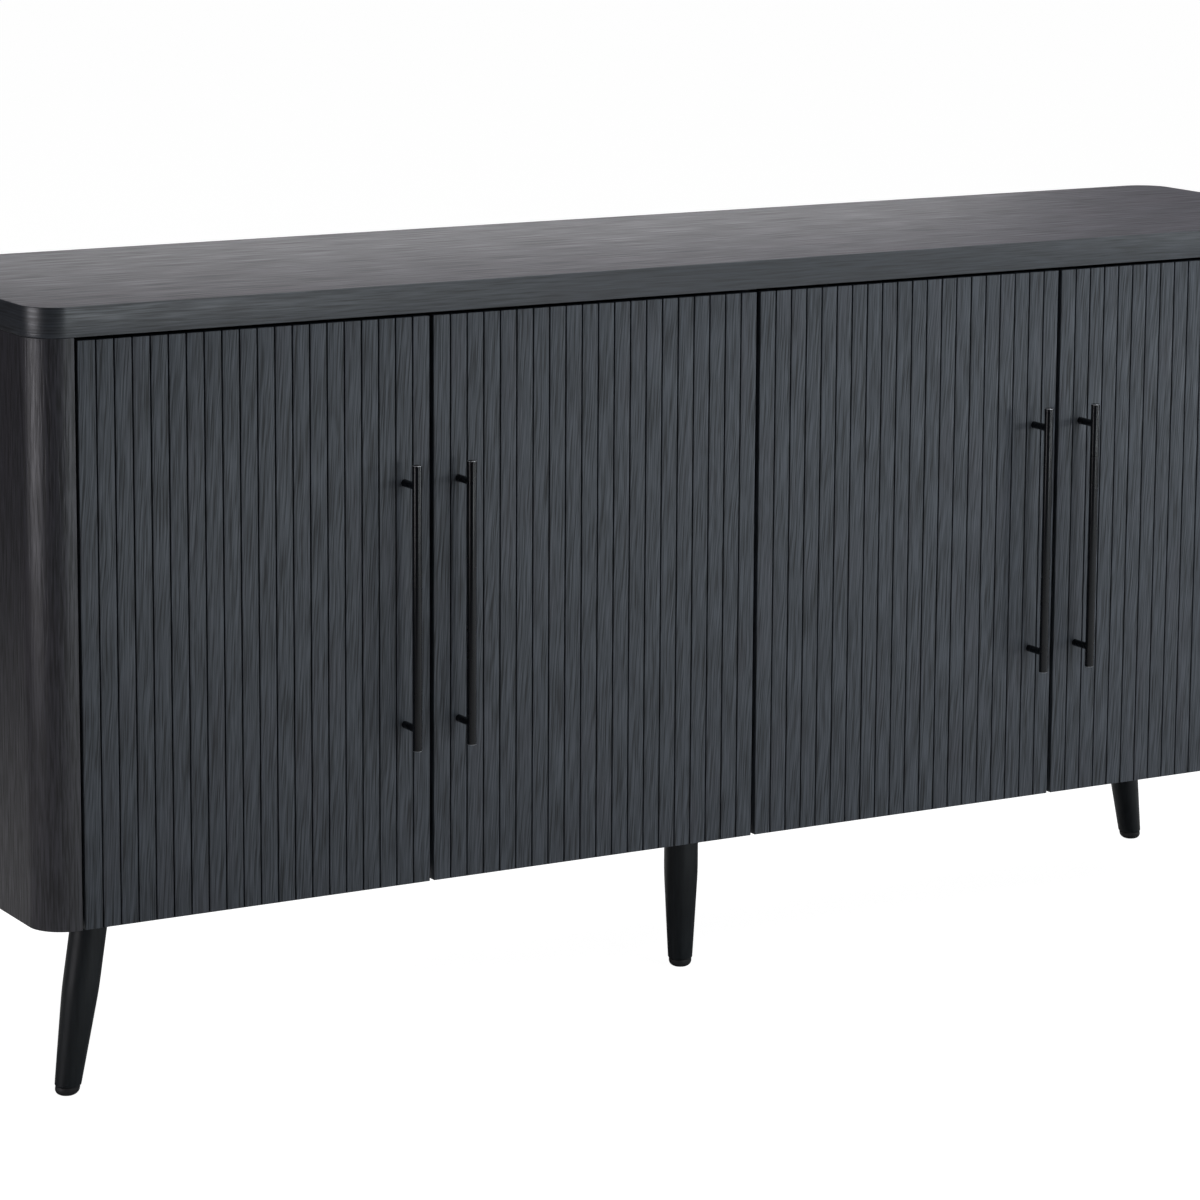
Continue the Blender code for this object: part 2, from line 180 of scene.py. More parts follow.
def add(tree, kind, inputs=None, **settings):
    """Adds a node. Inputs maps a socket's name or index to a value or to another node's output."""
    made = tree.nodes.new(kind)
    for key, value in settings.items():
        setattr(made, key, value)
    for key, value in (inputs or {}).items():
        if isinstance(value, bpy.types.NodeSocket):
            tree.links.new(value, made.inputs[key])
        else:
            made.inputs[key].default_value = value
    return made


def maths(tree, operation, first, second=0.0):
    """Output of a Math node."""
    return add(tree, "ShaderNodeMath", {0: first, 1: second}, operation=operation).outputs[0]


def ramp(tree, factor, stops):
    """Colour ramp through (position, colour) stops."""
    made = add(tree, "ShaderNodeValToRGB", {0: factor})
    band = made.color_ramp.elements
    while len(band) < len(stops):
        band.new(1.0)
    for element, (position, colour) in zip(band, stops):
        element.position = position
        element.color = (*colour, 1.0)
    return made.outputs[0]


def spread(tree, value, from_low, from_high, to_low, to_high):
    """The value mapped from one range to another, and held inside the second."""
    inputs = {0: value, 1: from_low, 2: from_high, 3: to_low, 4: to_high}
    return add(tree, "ShaderNodeMapRange", inputs).outputs[0]


def streaks(tree, coords, across, along, detail=2.0, roughness=0.5):
    """Noise drawn out along the grain; across and along are its frequencies per metre."""
    scaled = add(tree, "ShaderNodeMapping", {"Vector": coords, "Scale": (across, along, 1.0)})
    inputs = {"Vector": scaled.outputs[0], "Scale": 1.0, "Detail": detail, "Roughness": roughness}
    return add(tree, "ShaderNodeTexNoise", inputs, noise_dimensions="2D").outputs[0]


def solid_noise(tree, scale, detail=2.0, stretch=(1.0, 1.0, 1.0)):
    """Noise through the body of a piece, in its own coordinates; scale is per metre."""
    coords = add(tree, "ShaderNodeTexCoord").outputs["Object"]
    scaled = add(tree, "ShaderNodeMapping", {"Vector": coords, "Scale": stretch})
    inputs = {"Vector": scaled.outputs[0], "Scale": scale, "Detail": detail}
    return add(tree, "ShaderNodeTexNoise", inputs).outputs[0]


def bumped(tree, shader, height, distance, strength):
    """Gives the shader a bump from a height pattern; distance is its depth in metres."""
    bump = add(tree, "ShaderNodeBump", {"Height": height, "Distance": distance, "Strength": strength})
    tree.links.new(bump.outputs[0], shader.inputs["Normal"])


def new_shader(name, **values):
    """A material's node tree and its Principled shader, with constant values set on its sockets."""
    material = bpy.data.materials.new(name)
    material.use_nodes = True
    shader = material.node_tree.nodes["Principled BSDF"]
    for key, value in values.items():
        shader.inputs[key.replace("_", " ")].default_value = value
    return material, material.node_tree, shader


def make_oak(
    name, dark, light, fibre, figure, sway, contrast, lean=0.0, flame=0.25, relief=0.8,
    gloss=(0.42, 0.56), specular=0.35,
):
    """Open-pored oak under black stain: drawn-out fibres, flame figure, pores and soft patches.

    Fibre and figure are frequencies per metre, across and along the grain. Lean and sway tilt and
    bend the fibres, flame is the figure's share of the tone, relief is the strength of the bump,
    and gloss holds the roughness of the glossiest and the dullest fibres.
    """
    glossy, dull = gloss
    material, tree, shader = new_shader(name, Specular_IOR_Level=specular)
    uv = add(tree, "ShaderNodeUVMap", uv_map="Grain").outputs[0]
    coords = bent_grain(tree, uv, lean, sway)
    fibres = streaks(tree, coords, *fibre, 2.0, 0.65)
    flames = streaks(tree, coords, *figure, 1.0)
    patches = streaks(tree, uv, 30.0, 4.0, 1.0)
    pores = streaks(tree, coords, 0.8 * fibre[0], 0.7 * fibre[1], 1.0)
    pore_mask = spread(tree, pores, 0.54, 0.66, 0.0, 1.0)
    tone = maths(tree, "SUBTRACT", MIDDLE_TONE, maths(tree, "MULTIPLY", pore_mask, PORE_WEIGHT * contrast))
    for layer, weight in ((fibres, FIBRE_WEIGHT), (flames, flame), (patches, PATCH_WEIGHT)):
        part = maths(tree, "MULTIPLY", maths(tree, "SUBTRACT", layer, 0.5), weight * contrast)
        tone = maths(tree, "ADD", tone, part)
    wood = ramp(tree, tone, ((0.0, dark), (1.0, light)))
    tree.links.new(warmed(tree, uv, wood, light), shader.inputs["Base Color"])
    tree.links.new(spread(tree, fibres, 0.3, 0.7, dull, glossy), shader.inputs["Roughness"])
    height = maths(tree, "SUBTRACT", maths(tree, "MULTIPLY", fibres, 0.8), pore_mask)
    bumped(tree, shader, height, distance=0.00012, strength=relief)
    return material


def bent_grain(tree, uv, lean, sway):
    """Grain coordinates that lean to one side and sway gently along the grain."""
    along = add(tree, "ShaderNodeSeparateXYZ", {0: uv}).outputs[1]
    drift = streaks(tree, uv, 26.0, 7.0, 1.0)
    bend = maths(tree, "MULTIPLY", maths(tree, "SUBTRACT", drift, 0.5), sway)
    tilt = maths(tree, "MULTIPLY", along, -lean)
    shift = add(tree, "ShaderNodeCombineXYZ", {0: maths(tree, "ADD", bend, tilt)}).outputs[0]
    return add(tree, "ShaderNodeVectorMath", {0: uv, 1: shift}, operation="ADD").outputs[0]


def warmed(tree, uv, wood, light):
    """The wood's colour with a slightly browner stain in large soft patches."""
    warm = streaks(tree, uv, 22.0, 7.0, 1.0)
    warmth = spread(tree, warm, 0.56, 0.72, 0.0, 0.14)
    stain = [value * factor for value, factor in zip(light, BROWN_TINT)]
    inputs = {0: warmth, 6: wood, 7: (*stain, 1.0)}
    return add(tree, "ShaderNodeMix", inputs, data_type="RGBA").outputs[2]


def make_oaks():
    """The oak of the slats, of the sides and the partition (darker than the slats' as painted shade), of the
    top's face and of other edges.
    """
    return {
        "door": make_oak(
            "charcoal_oak_slats",
            dark=(0.0122, 0.0141, 0.0168),
            light=(0.068, 0.077, 0.092),
            fibre=(540.0, 15.0),
            figure=(120.0, 4.0),
            sway=0.007,
            contrast=0.8,
            lean=0.05,
            flame=0.1,
        ),
        # The sides' oak is a darker copy of the slats': painted shade on the case's sides.
        "side": make_oak(
            "charcoal_oak_side",
            dark=(0.0094, 0.0089, 0.0108),
            light=(0.0385, 0.0372, 0.045),
            fibre=(400.0, 20.0),
            figure=(150.0, 9.0),
            sway=0.004,
            contrast=1.15,
            gloss=(0.38, 0.50),
            specular=0.5,
        ),
        "top": make_oak(
            "charcoal_oak_top",
            dark=(0.024, 0.0232, 0.028),
            light=(0.080, 0.077, 0.092),
            fibre=(300.0, 11.0),
            figure=(90.0, 4.0),
            sway=0.002,
            contrast=0.85,
            flame=0.6,
            relief=0.2,
        ),
        "edge": make_oak(
            "charcoal_oak_edge",
            dark=(0.0068, 0.0078, 0.0094),
            light=(0.044, 0.0495, 0.059),
            fibre=(440.0, 15.0),
            figure=(200.0, 6.0),
            sway=0.003,
            contrast=0.65,
            flame=0.15,
            relief=0.35,
            gloss=(0.32, 0.44),
            specular=0.55,
        ),
    }


def make_board_foil():
    """Dark printed foil on the inner boards, with a faint grain and a fine emboss."""
    material, tree, shader = new_shader("inner_foil", Specular_IOR_Level=0.3)
    uv = add(tree, "ShaderNodeUVMap", uv_map="Grain").outputs[0]
    grain = streaks(tree, uv, 260.0, 9.0, 3.0)
    tone = spread(tree, grain, 0.25, 0.75, 0.0, 1.0)
    colour = ramp(tree, tone, ((0.0, (0.042, 0.042, 0.046)), (1.0, (0.076, 0.076, 0.083))))
    tree.links.new(colour, shader.inputs["Base Color"])
    emboss = streaks(tree, uv, 1800.0, 160.0, 1.0)
    tree.links.new(spread(tree, emboss, 0.3, 0.7, 0.50, 0.64), shader.inputs["Roughness"])
    bumped(tree, shader, emboss, distance=0.00006, strength=0.6)
    return material


def make_fibreboard():
    """Thin dark-faced fibreboard of the back: mottled, with pressed fibres."""
    material, tree, shader = new_shader("back_fibreboard", Specular_IOR_Level=0.2)
    mottle = solid_noise(tree, 90.0, 5.0)
    cloud = solid_noise(tree, 4.0, 2.0)
    both = maths(tree, "ADD", maths(tree, "MULTIPLY", mottle, 0.6), maths(tree, "MULTIPLY", cloud, 0.4))
    tone = spread(tree, both, 0.35, 0.65, 0.0, 1.0)
    colour = ramp(tree, tone, ((0.0, (0.056, 0.054, 0.055)), (1.0, (0.098, 0.095, 0.096))))
    tree.links.new(colour, shader.inputs["Base Color"])
    tree.links.new(spread(tree, mottle, 0.3, 0.7, 0.66, 0.82), shader.inputs["Roughness"])
    bumped(tree, shader, mottle, distance=0.00015, strength=0.6)
    return material


def make_leg_lacquer():
    """Satin black lacquer over turned wood: the grain telegraphs through, with soft rub marks."""
    gloss = {"Specular_IOR_Level": 0.22, "Coat_Weight": 0.06, "Coat_Roughness": 0.30}
    material, tree, shader = new_shader("black_lacquer", **gloss)
    grain = solid_noise(tree, 60.0, 4.0, (6.0, 6.0, 0.35))
    rubs = solid_noise(tree, 35.0, 3.0)
    tone = spread(tree, grain, 0.3, 0.7, 0.0, 1.0)
    colour = ramp(tree, tone, ((0.0, (0.0045, 0.0058, 0.0070)), (1.0, (0.0095, 0.0120, 0.0142))))
    tree.links.new(colour, shader.inputs["Base Color"])
    tree.links.new(spread(tree, rubs, 0.35, 0.7, 0.36, 0.50), shader.inputs["Roughness"])
    bumped(tree, shader, grain, distance=0.00010, strength=0.5)
    return material


def make_powder_coat():
    """Black powder coat on the pulls: fine pebbled skin, thinner and shinier where hands rub."""
    material, tree, shader = new_shader("black_powder_coat", Specular_IOR_Level=0.30)
    pebble = solid_noise(tree, 2600.0, 2.0)
    rub = solid_noise(tree, 28.0, 3.0)
    tone = spread(tree, rub, 0.35, 0.7, 0.0, 1.0)
    colour = ramp(tree, tone, ((0.0, (0.0018, 0.0022, 0.0034)), (1.0, (0.0040, 0.0048, 0.0068))))
    tree.links.new(colour, shader.inputs["Base Color"])
    tree.links.new(spread(tree, rub, 0.35, 0.7, 0.28, 0.22), shader.inputs["Roughness"])
    bumped(tree, shader, pebble, distance=0.00001, strength=0.06)
    return material


def make_painted_rim_highlight():
    """Painted highlight on the bars' end rims: pale mottled metal, brighter than the black coat."""
    material, tree, shader = new_shader("worn_rim", Metallic=0.7)
    highlight_mottle = solid_noise(tree, 900.0, 3.0)
    # The pale grey paints the highlight that the rims catch.
    colour = ramp(tree, highlight_mottle, ((0.35, (0.16, 0.165, 0.175)), (0.65, (0.50, 0.51, 0.53))))
    tree.links.new(colour, shader.inputs["Base Color"])
    tree.links.new(spread(tree, highlight_mottle, 0.3, 0.7, 0.42, 0.26), shader.inputs["Roughness"])
    bumped(tree, shader, highlight_mottle, distance=0.00002, strength=0.4)
    return material


def make_plated_steel():
    """Nickel-plated steel with a drawn direction, faint haze and small rub marks."""
    material, tree, shader = new_shader("nickel_plate", Metallic=1.0)
    drawn = solid_noise(tree, 900.0, 2.0, (1.0, 1.0, 0.06))
    haze = solid_noise(tree, 70.0, 3.0)
    tone = spread(tree, haze, 0.3, 0.7, 0.0, 1.0)
    colour = ramp(tree, tone, ((0.0, (0.42, 0.42, 0.41)), (1.0, (0.62, 0.62, 0.60))))
    tree.links.new(colour, shader.inputs["Base Color"])
    tree.links.new(spread(tree, drawn, 0.3, 0.7, 0.24, 0.40), shader.inputs["Roughness"])
    bumped(tree, shader, drawn, distance=0.00002, strength=0.5)
    return material


def make_moulded(name, dark, light, rough_low, rough_high):
    """Moulded plastic or rubber with a fine spark-eroded skin."""
    material, tree, shader = new_shader(name, Specular_IOR_Level=0.4)
    skin = solid_noise(tree, 1800.0, 2.0)
    cloud = solid_noise(tree, 120.0, 2.0)
    colour = ramp(tree, spread(tree, cloud, 0.3, 0.7, 0.0, 1.0), ((0.0, dark), (1.0, light)))
    tree.links.new(colour, shader.inputs["Base Color"])
    tree.links.new(spread(tree, skin, 0.3, 0.7, rough_low, rough_high), shader.inputs["Roughness"])
    bumped(tree, shader, skin, distance=0.00004, strength=0.6)
    return material


# ---------------------------------------------------------------- mesh building


def arc(centre, radius, start, end, steps):
    """Points along an arc, angles in degrees counted anticlockwise from +X."""
    angles = [math.radians(start + (end - start) * i / steps) for i in range(steps + 1)]
    return [(centre[0] + radius * math.cos(a), centre[1] + radius * math.sin(a)) for a in angles]


def quarter_turn(steps):
    """Angles from 0 to 90 degrees in even steps, in radians."""
    return [math.radians(90 * i / steps) for i in range(steps + 1)]


def round_rectangle(x_low, x_high, y_low, y_high, radius, steps):
    """Anticlockwise outline with all four corners rounded."""
    outline = arc((x_high - radius, y_low + radius), radius, -90, 0, steps)
    outline += arc((x_high - radius, y_high - radius), radius, 0, 90, steps)
    outline += arc((x_low + radius, y_high - radius), radius, 90, 180, steps)
    outline += arc((x_low + radius, y_low + radius), radius, 180, 270, steps)
    return outline


def mirrored(outline):
    """The outline mirrored in X, still anticlockwise."""
    return [(-x, y) for x, y in reversed(outline)]


def inset(outline, distance):
    """The outline moved inwards by a distance, its corners mitred, the sharpest ones not all the way."""
    sharpest = 0.2
    moved = []
    for i, (x, y) in enumerate(outline):
        before = Vector(outline[i]) - Vector(outline[i - 1])
        after = Vector(outline[(i + 1) % len(outline)]) - Vector(outline[i])
        first = Vector((-before.y, before.x)).normalized()
        second = Vector((-after.y, after.x)).normalized()
        step = (first + second) * distance / max(sharpest, 1 + first.dot(second))
        moved.append((x + step.x, y + step.y))
    return moved


def arris_levels(low, high, edge, steps=3):
    """(inset, height) pairs from the foot of a body to its head, rounding both rims."""
    turns = quarter_turn(steps)
    foot = [(edge * (1 - math.sin(a)), low + edge * (1 - math.cos(a))) for a in turns]
    head = [(distance, low + high - height) for distance, height in reversed(foot)]
    return foot + head


def rounded_body(outline, low, high, edge, level_grain=False, zones=None, steps=3):
    """Closed upright body over an outline, its rims rounded, with its Grain map.

    The grain runs up the walls, or round them and along X on the ends where level_grain is set.
    Zones gives each outline point its slat, and each slat takes its own stretch of grain.
    """
    bm = bmesh.new()
    grain = bm.loops.layers.uv.new("Grain")
    count = len(outline)
    zones = zones or [0] * count
    shifts = {zone: (rng.uniform(0, GRAIN_SPAN), rng.uniform(0, GRAIN_SPAN)) for zone in sorted(set(zones))}
    levels = arris_levels(low, high, edge, steps)
    rings = [[bm.verts.new((x, y, z)) for x, y in inset(outline, d)] for d, z in levels]
    runs = [0.0]
    for i in range(count):
        runs.append(runs[-1] + math.dist(outline[i], outline[(i + 1) % count]))
    for (_, z_low), (_, z_high), lower, upper in zip(levels, levels[1:], rings, rings[1:]):
        for i, zone in enumerate(zones):
            j = (i + 1) % count
            face = bm.faces.new((lower[i], lower[j], upper[j], upper[i]))
            corners = ((runs[i], z_low), (runs[i + 1], z_low), (runs[i + 1], z_high), (runs[i], z_high))
            for loop, (run, z) in zip(face.loops, corners):
                across, along = (z, run) if level_grain else (run, z)
                loop[grain].uv = (across + shifts[zone][0], along + shifts[zone][1])
    shift = shifts[min(shifts)]
    for ring in (list(reversed(rings[0])), rings[-1]):
        face = bm.faces.new(ring)
        for loop in face.loops:
            across, along = (loop.vert.co.y, loop.vert.co.x) if level_grain else loop.vert.co.xy
            loop[grain].uv = (across + shift[0], along + shift[1])
    return bm


def turned(profile, steps=48):
    """Closed body of revolution about Z through (radius, height) points, with its Grain map."""
    bm = bmesh.new()
    grain = bm.loops.layers.uv.new("Grain")
    rings = []
    for radius, height in profile:
        turn = [2 * math.pi * i / steps for i in range(steps)]
        rings.append([bm.verts.new((radius * math.cos(a), radius * math.sin(a), height)) for a in turn])
    girth = 2 * math.pi * max(radius for radius, _ in profile) / steps
    for lower, upper in zip(rings, rings[1:]):
        for i in range(steps):
            j = (i + 1) % steps
            face = bm.faces.new((lower[i], lower[j], upper[j], upper[i]))
            for loop, run in zip(face.loops, (i, i + 1, i + 1, i)):
                loop[grain].uv = (run * girth, loop.vert.co.z)
    bm.faces.new(list(reversed(rings[0])))
    bm.faces.new(rings[-1])
    return bm


def smooth(mesh):
    """Smooth shading, with sharp edges kept where faces meet at a clear angle."""
    mesh.shade_smooth()
    mesh.set_sharp_from_angle(angle=math.radians(32))


def to_object(name, bm, *materials):
    """Turns a bmesh into a named object in the scene."""
    bmesh.ops.recalc_face_normals(bm, faces=bm.faces)
    mesh = bpy.data.meshes.new(name)
    bm.to_mesh(mesh)
    bm.free()
    smooth(mesh)
    for material in materials:
        mesh.materials.append(material)
    piece = bpy.data.objects.new(name, mesh)
    bpy.context.scene.collection.objects.link(piece)
    return piece


def carve(piece, *steps):
    """Applies exact Booleans in turn, each an operation and a tool body, and keeps the result."""
    tools = []
    for operation, bm in steps:
        tool = to_object("tool", bm)
        modifier = piece.modifiers.new(operation.title(), "BOOLEAN")
        modifier.operation = operation
        modifier.object = tool
        tools.append(tool)
    depsgraph = bpy.context.evaluated_depsgraph_get()
    evaluated = piece.evaluated_get(depsgraph)
    result = bpy.data.meshes.new_from_object(evaluated, preserve_all_data_layers=True, depsgraph=depsgraph)
    piece.modifiers.clear()
    piece.data = result
    for tool in tools:
        bpy.data.objects.remove(tool)
    smooth(result)
    return piece


def turn_to(bm, matrix):
    """Moves and turns a bmesh, and hands it back."""
    bmesh.ops.transform(bm, matrix=matrix, verts=bm.verts)
    return bm


def spin(axis, degrees):
    """Rotation matrix about a main axis."""
    return Matrix.Rotation(math.radians(degrees), 4, axis)


def merged(bodies):
    """One bmesh holding several separate bodies."""
    bm = bmesh.new()
    for body in bodies:
        part = bpy.data.meshes.new("part")
        body.to_mesh(part)
        body.free()
        bm.from_mesh(part)
        bpy.data.meshes.remove(part)
    return bm


def give_second(piece, chosen):
    """Gives the second material to the faces that the test picks, and the first to the rest."""
    for face in piece.data.polygons:
        face.material_index = 1 if chosen(face) else 0


def stand_for(piece, node):
    """The piece takes the place of a CAD node, whose mesh is hidden, and rides on that node's body."""
    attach(piece, body_of[node])
    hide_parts(node)


def add_fasteners(piece, node):
    """A group of screws or pins, as an extra piece that moves with a CAD node's body."""
    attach(piece, body_of[node])


def middle(node):
    """Centre of a CAD node's box."""
    low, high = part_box(node)
    return (low + high) / 2


# ---------------------------------------------------------------- fasteners


def cross_recess(reach, width, low, high):
    """Plus-shaped cutter for a screw's drive."""
    w, r = width / 2, reach
    outline = [(w, -r), (w, -w), (r, -w), (r, w), (w, w), (w, r)]
    outline += [(-x, -y) for x, y in outline]
    return rounded_body(outline, low, high, RECESS_ARRIS, steps=1)


def screw_mesh(radius, height):
    """Low domed screw head with a cross recess, standing on z = 0 and pointing up."""
    crown = radius * 0.25
    rim = height * 0.2
    profile = [(radius * 0.96, 0.0), (radius, rim)]
    for a in quarter_turn(5)[1:]:
        profile.append((crown + (radius - crown) * math.cos(a), rim + (height - rim) * math.sin(a)))
    head = to_object("screw", turned(profile, 24))
    recess = cross_recess(radius * 0.52, radius * 0.2, height * 0.35, height * 2)
    mesh = carve(head, ("DIFFERENCE", recess)).data
    bpy.data.objects.remove(head)
    return mesh


def add_screws(name, mesh, places, node, material):
    """A group of screw heads as one piece; each place is a matrix."""
    bm = bmesh.new()
    for place in places:
        start = len(bm.verts)
        bm.from_mesh(mesh)
        bm.verts.ensure_lookup_table()
        bmesh.ops.transform(bm, matrix=place, verts=bm.verts[start:])
    add_fasteners(to_object(name, bm, material), node)


# ---------------------------------------------------------------- case


def make_top(oak):
    """The thick top, its grain along its length, with another finish round its edge."""
    low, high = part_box("top_panel")
    outline = round_rectangle(low.x, high.x, low.y, high.y, CORNER_RADIUS, 32)
    top = rounded_body(outline, low.z, high.z, TOP_ARRIS, level_grain=True, steps=4)
    slab = to_object("top_slab", top, oak["top"], oak["edge"])
    give_second(slab, lambda face: face.normal.z <= 0.75)
    stand_for(slab, "top_panel")


def make_side(name, side, oak):
    """Side panel with curved outer corners, closed up to the top so that no light shows between them."""
    low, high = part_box(name)
    high.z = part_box("top_panel")[0].z - TOP_SEAM
    inner = low.x if side > 0 else high.x
    outer = high.x if side > 0 else low.x
    half_inner, half_outer, r = abs(inner), abs(outer), CORNER_RADIUS
    outline = arc((half_inner + SIDE_ARRIS, low.y + SIDE_ARRIS), SIDE_ARRIS, 180, 270, 3)
    outline += arc((half_outer - r, low.y + r), r, -90, 0, 32)
    outline += arc((half_outer - r, high.y - r), r, 0, 90, 32)
    outline += arc((half_inner + SIDE_ARRIS, high.y - SIDE_ARRIS), SIDE_ARRIS, 90, 180, 3)
    if side < 0:
        outline = mirrored(outline)
    # Its oak is the darker copy that paints shade on the sides.
    panel = to_object(name + "_veneered", rounded_body(outline, low.z, high.z, SIDE_ARRIS), oak["side"])
    carve(panel, ("DIFFERENCE", pin_drills(name, [(inner, side)])))
    stand_for(panel, name)


def pin_drills(panel, faces):
    """Cutters for the rows of shelf-pin holes; each face is its X and the way into the board."""
    side_name = "right" if "right" in panel else "left"
    wall = "inner" if panel == "centre_partition" else "outer"
    bodies = []
    for x, way in faces:
        for row in ("front", "rear"):
            centre = middle(f"shelf_pin_{side_name}_{wall}_{row}")
            for step in (-1, 0, 1):
                drill = turned([(PIN_HOLE_RADIUS, -PIN_HOLE_DEPTH), (PIN_HOLE_RADIUS, PIN_HOLE_DEPTH)], 16)
                spot = (x, centre.y, centre.z + step * PIN_HOLE_STEP)
                bodies.append(turn_to(drill, Matrix.Translation(spot) @ spin("Y", 90 * way)))
    return merged(bodies)


def make_board(node, foil, edge=None, holes=None):
    """Foil-faced board; the edge material covers the front edge where one is given."""
    low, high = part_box(node)
    thin = min(range(3), key=lambda i: high[i] - low[i])
    outline = round_rectangle(low.x, high.x, low.y, high.y, BOARD_ARRIS, 2)
    body = rounded_body(outline, low.z, high.z, BOARD_ARRIS, level_grain=thin == 2, steps=2)
    board = to_object(node + "_board", body, foil, edge or foil)
    if holes:
        carve(board, ("DIFFERENCE", holes))
    give_second(board, lambda face: face.normal.y < -0.9)
    stand_for(board, node)


def make_case(oak, foil, fibreboard, steel):
    """Top, sides, partition, boards, shelves and back panels, and the pins that hold them."""
    make_top(oak)
    make_side("side_panel_left", -1, oak)
    make_side("side_panel_right", 1, oak)
    low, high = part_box("centre_partition")
    holes = pin_drills("centre_partition", ((low.x, 1), (high.x, -1)))
    make_board("centre_partition", foil, oak["side"], holes)
    for node in ("bottom_panel", "shelf_left", "shelf_right"):
        make_board(node, foil, oak["edge"])
    for side in ("left", "right"):
        node = "back_panel_" + side
        make_board(node, fibreboard)
        make_panel_pins(node, steel)
        inwards = -1 if side == "right" else 1
        for wall, way in (("inner", -inwards), ("outer", inwards)):
            for row in ("front", "rear"):
                make_shelf_pin(f"shelf_pin_{side}_{wall}_{row}", way, steel)


def make_panel_pins(node, steel):
    """Small round-headed pins that hold a back panel along its edges."""
    low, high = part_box(node)
    margin = PANEL_PIN_MARGIN
    wide, tall = high.x - low.x - 2 * margin, high.z - low.z - 2 * margin
    across, up = round(wide / PANEL_PIN_SPACING), round(tall / PANEL_PIN_SPACING)
    spots = []
    for i in range(across + 1):
        x = low.x + margin + wide * i / across
        spots += [(x, low.z + margin), (x, high.z - margin)]
    for i in range(1, up):
        z = low.z + margin + tall * i / up
        spots += [(low.x + margin, z), (high.x - margin, z)]
    heads = []
    for x, z in spots:
        place = Matrix.Translation((x, high.y, z)) @ spin("X", -90)
        heads.append(turn_to(turned(PANEL_PIN_DOME, 12), place))
    add_fasteners(to_object(node + "_pins", merged(heads), steel), node)


def make_shelf_pin(node, way, steel):
    """Shelf pin with a collar against the board and a domed tip; way is where its tip points."""
    low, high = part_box(node)
    radius = (high.z - low.z) / 2
    length = high.x - low.x
    start, end = SHELF_PIN_COLLAR
    lip = radius + SHELF_PIN_LIP
    profile = [(radius - SHELF_PIN_CHAMFER, 0.0), (radius, SHELF_PIN_CHAMFER)]
    profile += [(radius, start), (lip, start), (lip, end), (radius, end)]
    profile += [(radius - inwards, length - down) for inwards, down in SHELF_PIN_TIP]
    root = Vector((low.x if way > 0 else high.x, (low.y + high.y) / 2, (low.z + high.z) / 2))
    pin = turn_to(turned(profile, 24), Matrix.Translation(root) @ spin("Y", 90 * way))
    stand_for(to_object(node + "_collared", pin, steel), node)


# ---------------------------------------------------------------- legs


def leg_profile(bottom, top):
    """Straight shank, a soft turn into the taper, and a slightly eased tip."""
    slope = (LEG_RADIUS - LEG_TIP_RADIUS) / (LEG_TAPER_START - bottom)
    points = [(LEG_TIP_RADIUS - LEG_TIP_EASE[0], bottom), (LEG_TIP_RADIUS, bottom + LEG_TIP_EASE[1])]
    for i in range(1, 9):
        z = bottom + (LEG_TAPER_START - LEG_TAPER_BLEND - bottom) * i / 8
        points.append((LEG_TIP_RADIUS + slope * (z - bottom), z))
    for i in range(1, 7):
        t = i / 6
        z = LEG_TAPER_START - LEG_TAPER_BLEND + 2 * LEG_TAPER_BLEND * t
        points.append((LEG_RADIUS - slope * LEG_TAPER_BLEND * (1 - t) ** 2, z))
    return points + [(LEG_RADIUS, top - RIM_EASE), (LEG_RADIUS - RIM_EASE, top)]


def glide_profile(top):
    """Flat foot, quarter-round dome and a slightly eased rim under the leg."""
    overhang = GLIDE_RADIUS - GLIDE_FOOT_RADIUS
    dome = []
    for a in quarter_turn(8):
        dome.append((GLIDE_FOOT_RADIUS + overhang * math.sin(a), GLIDE_DOME * (1 - math.cos(a))))
    return dome + [(GLIDE_RADIUS, top - RIM_EASE), (GLIDE_RADIUS - RIM_EASE, top)]


def leaned(bm, foot, slope):
    """Moves an upright body onto its foot and leans it along X, its sections staying level."""
    for vert in bm.verts:
        vert.co.x += foot[0] + slope * vert.co.z
        vert.co.y += foot[1]
    return bm


def make_leg(corner, lacquer, plastic, steel, screw):
    """Turned leg with its glide, and its mounting plate with four screws; corner names its place."""
    leg, glide, plate = (kind + corner for kind in ("leg_", "glide_", "leg_plate_"))
    leg_low, leg_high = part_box(leg)
    plate_low, plate_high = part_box(plate)
    foot = foot_of["floor_" + corner]
    slope = (middle(plate).x - foot[0]) / leg_high.z
    shank = leaned(turned(leg_profile(leg_low.z, leg_high.z)), foot, slope)
    stand_for(to_object(leg + "_turned", shank, lacquer), leg)
    cap = leaned(turned(glide_profile(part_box(glide)[1].z)), foot, slope)
    stand_for(to_object(glide + "_domed", cap, plastic), glide)
    rectangle = (plate_low.x, plate_high.x, plate_low.y, plate_high.y)
    outline = round_rectangle(*rectangle, LEG_PLATE_CORNER_RADIUS, 6)
    body = rounded_body(outline, plate_low.z, plate_high.z, LEG_PLATE_ARRIS)
    stand_for(to_object(plate + "_pressed", body, steel), plate)
    centre = middle(plate)
    offset = (plate_high.x - plate_low.x) / 2 - LEG_PLATE_SCREW_MARGIN
    places = []
    for x in (-offset, offset):
        for y in (-offset, offset):
            spot = (centre.x + x, centre.y + y, plate_low.z)
            places.append(Matrix.Translation(spot) @ spin("X", 180))
    add_screws(plate + "_screws", screw, places, plate, steel)


# ---------------------------------------------------------------- doors


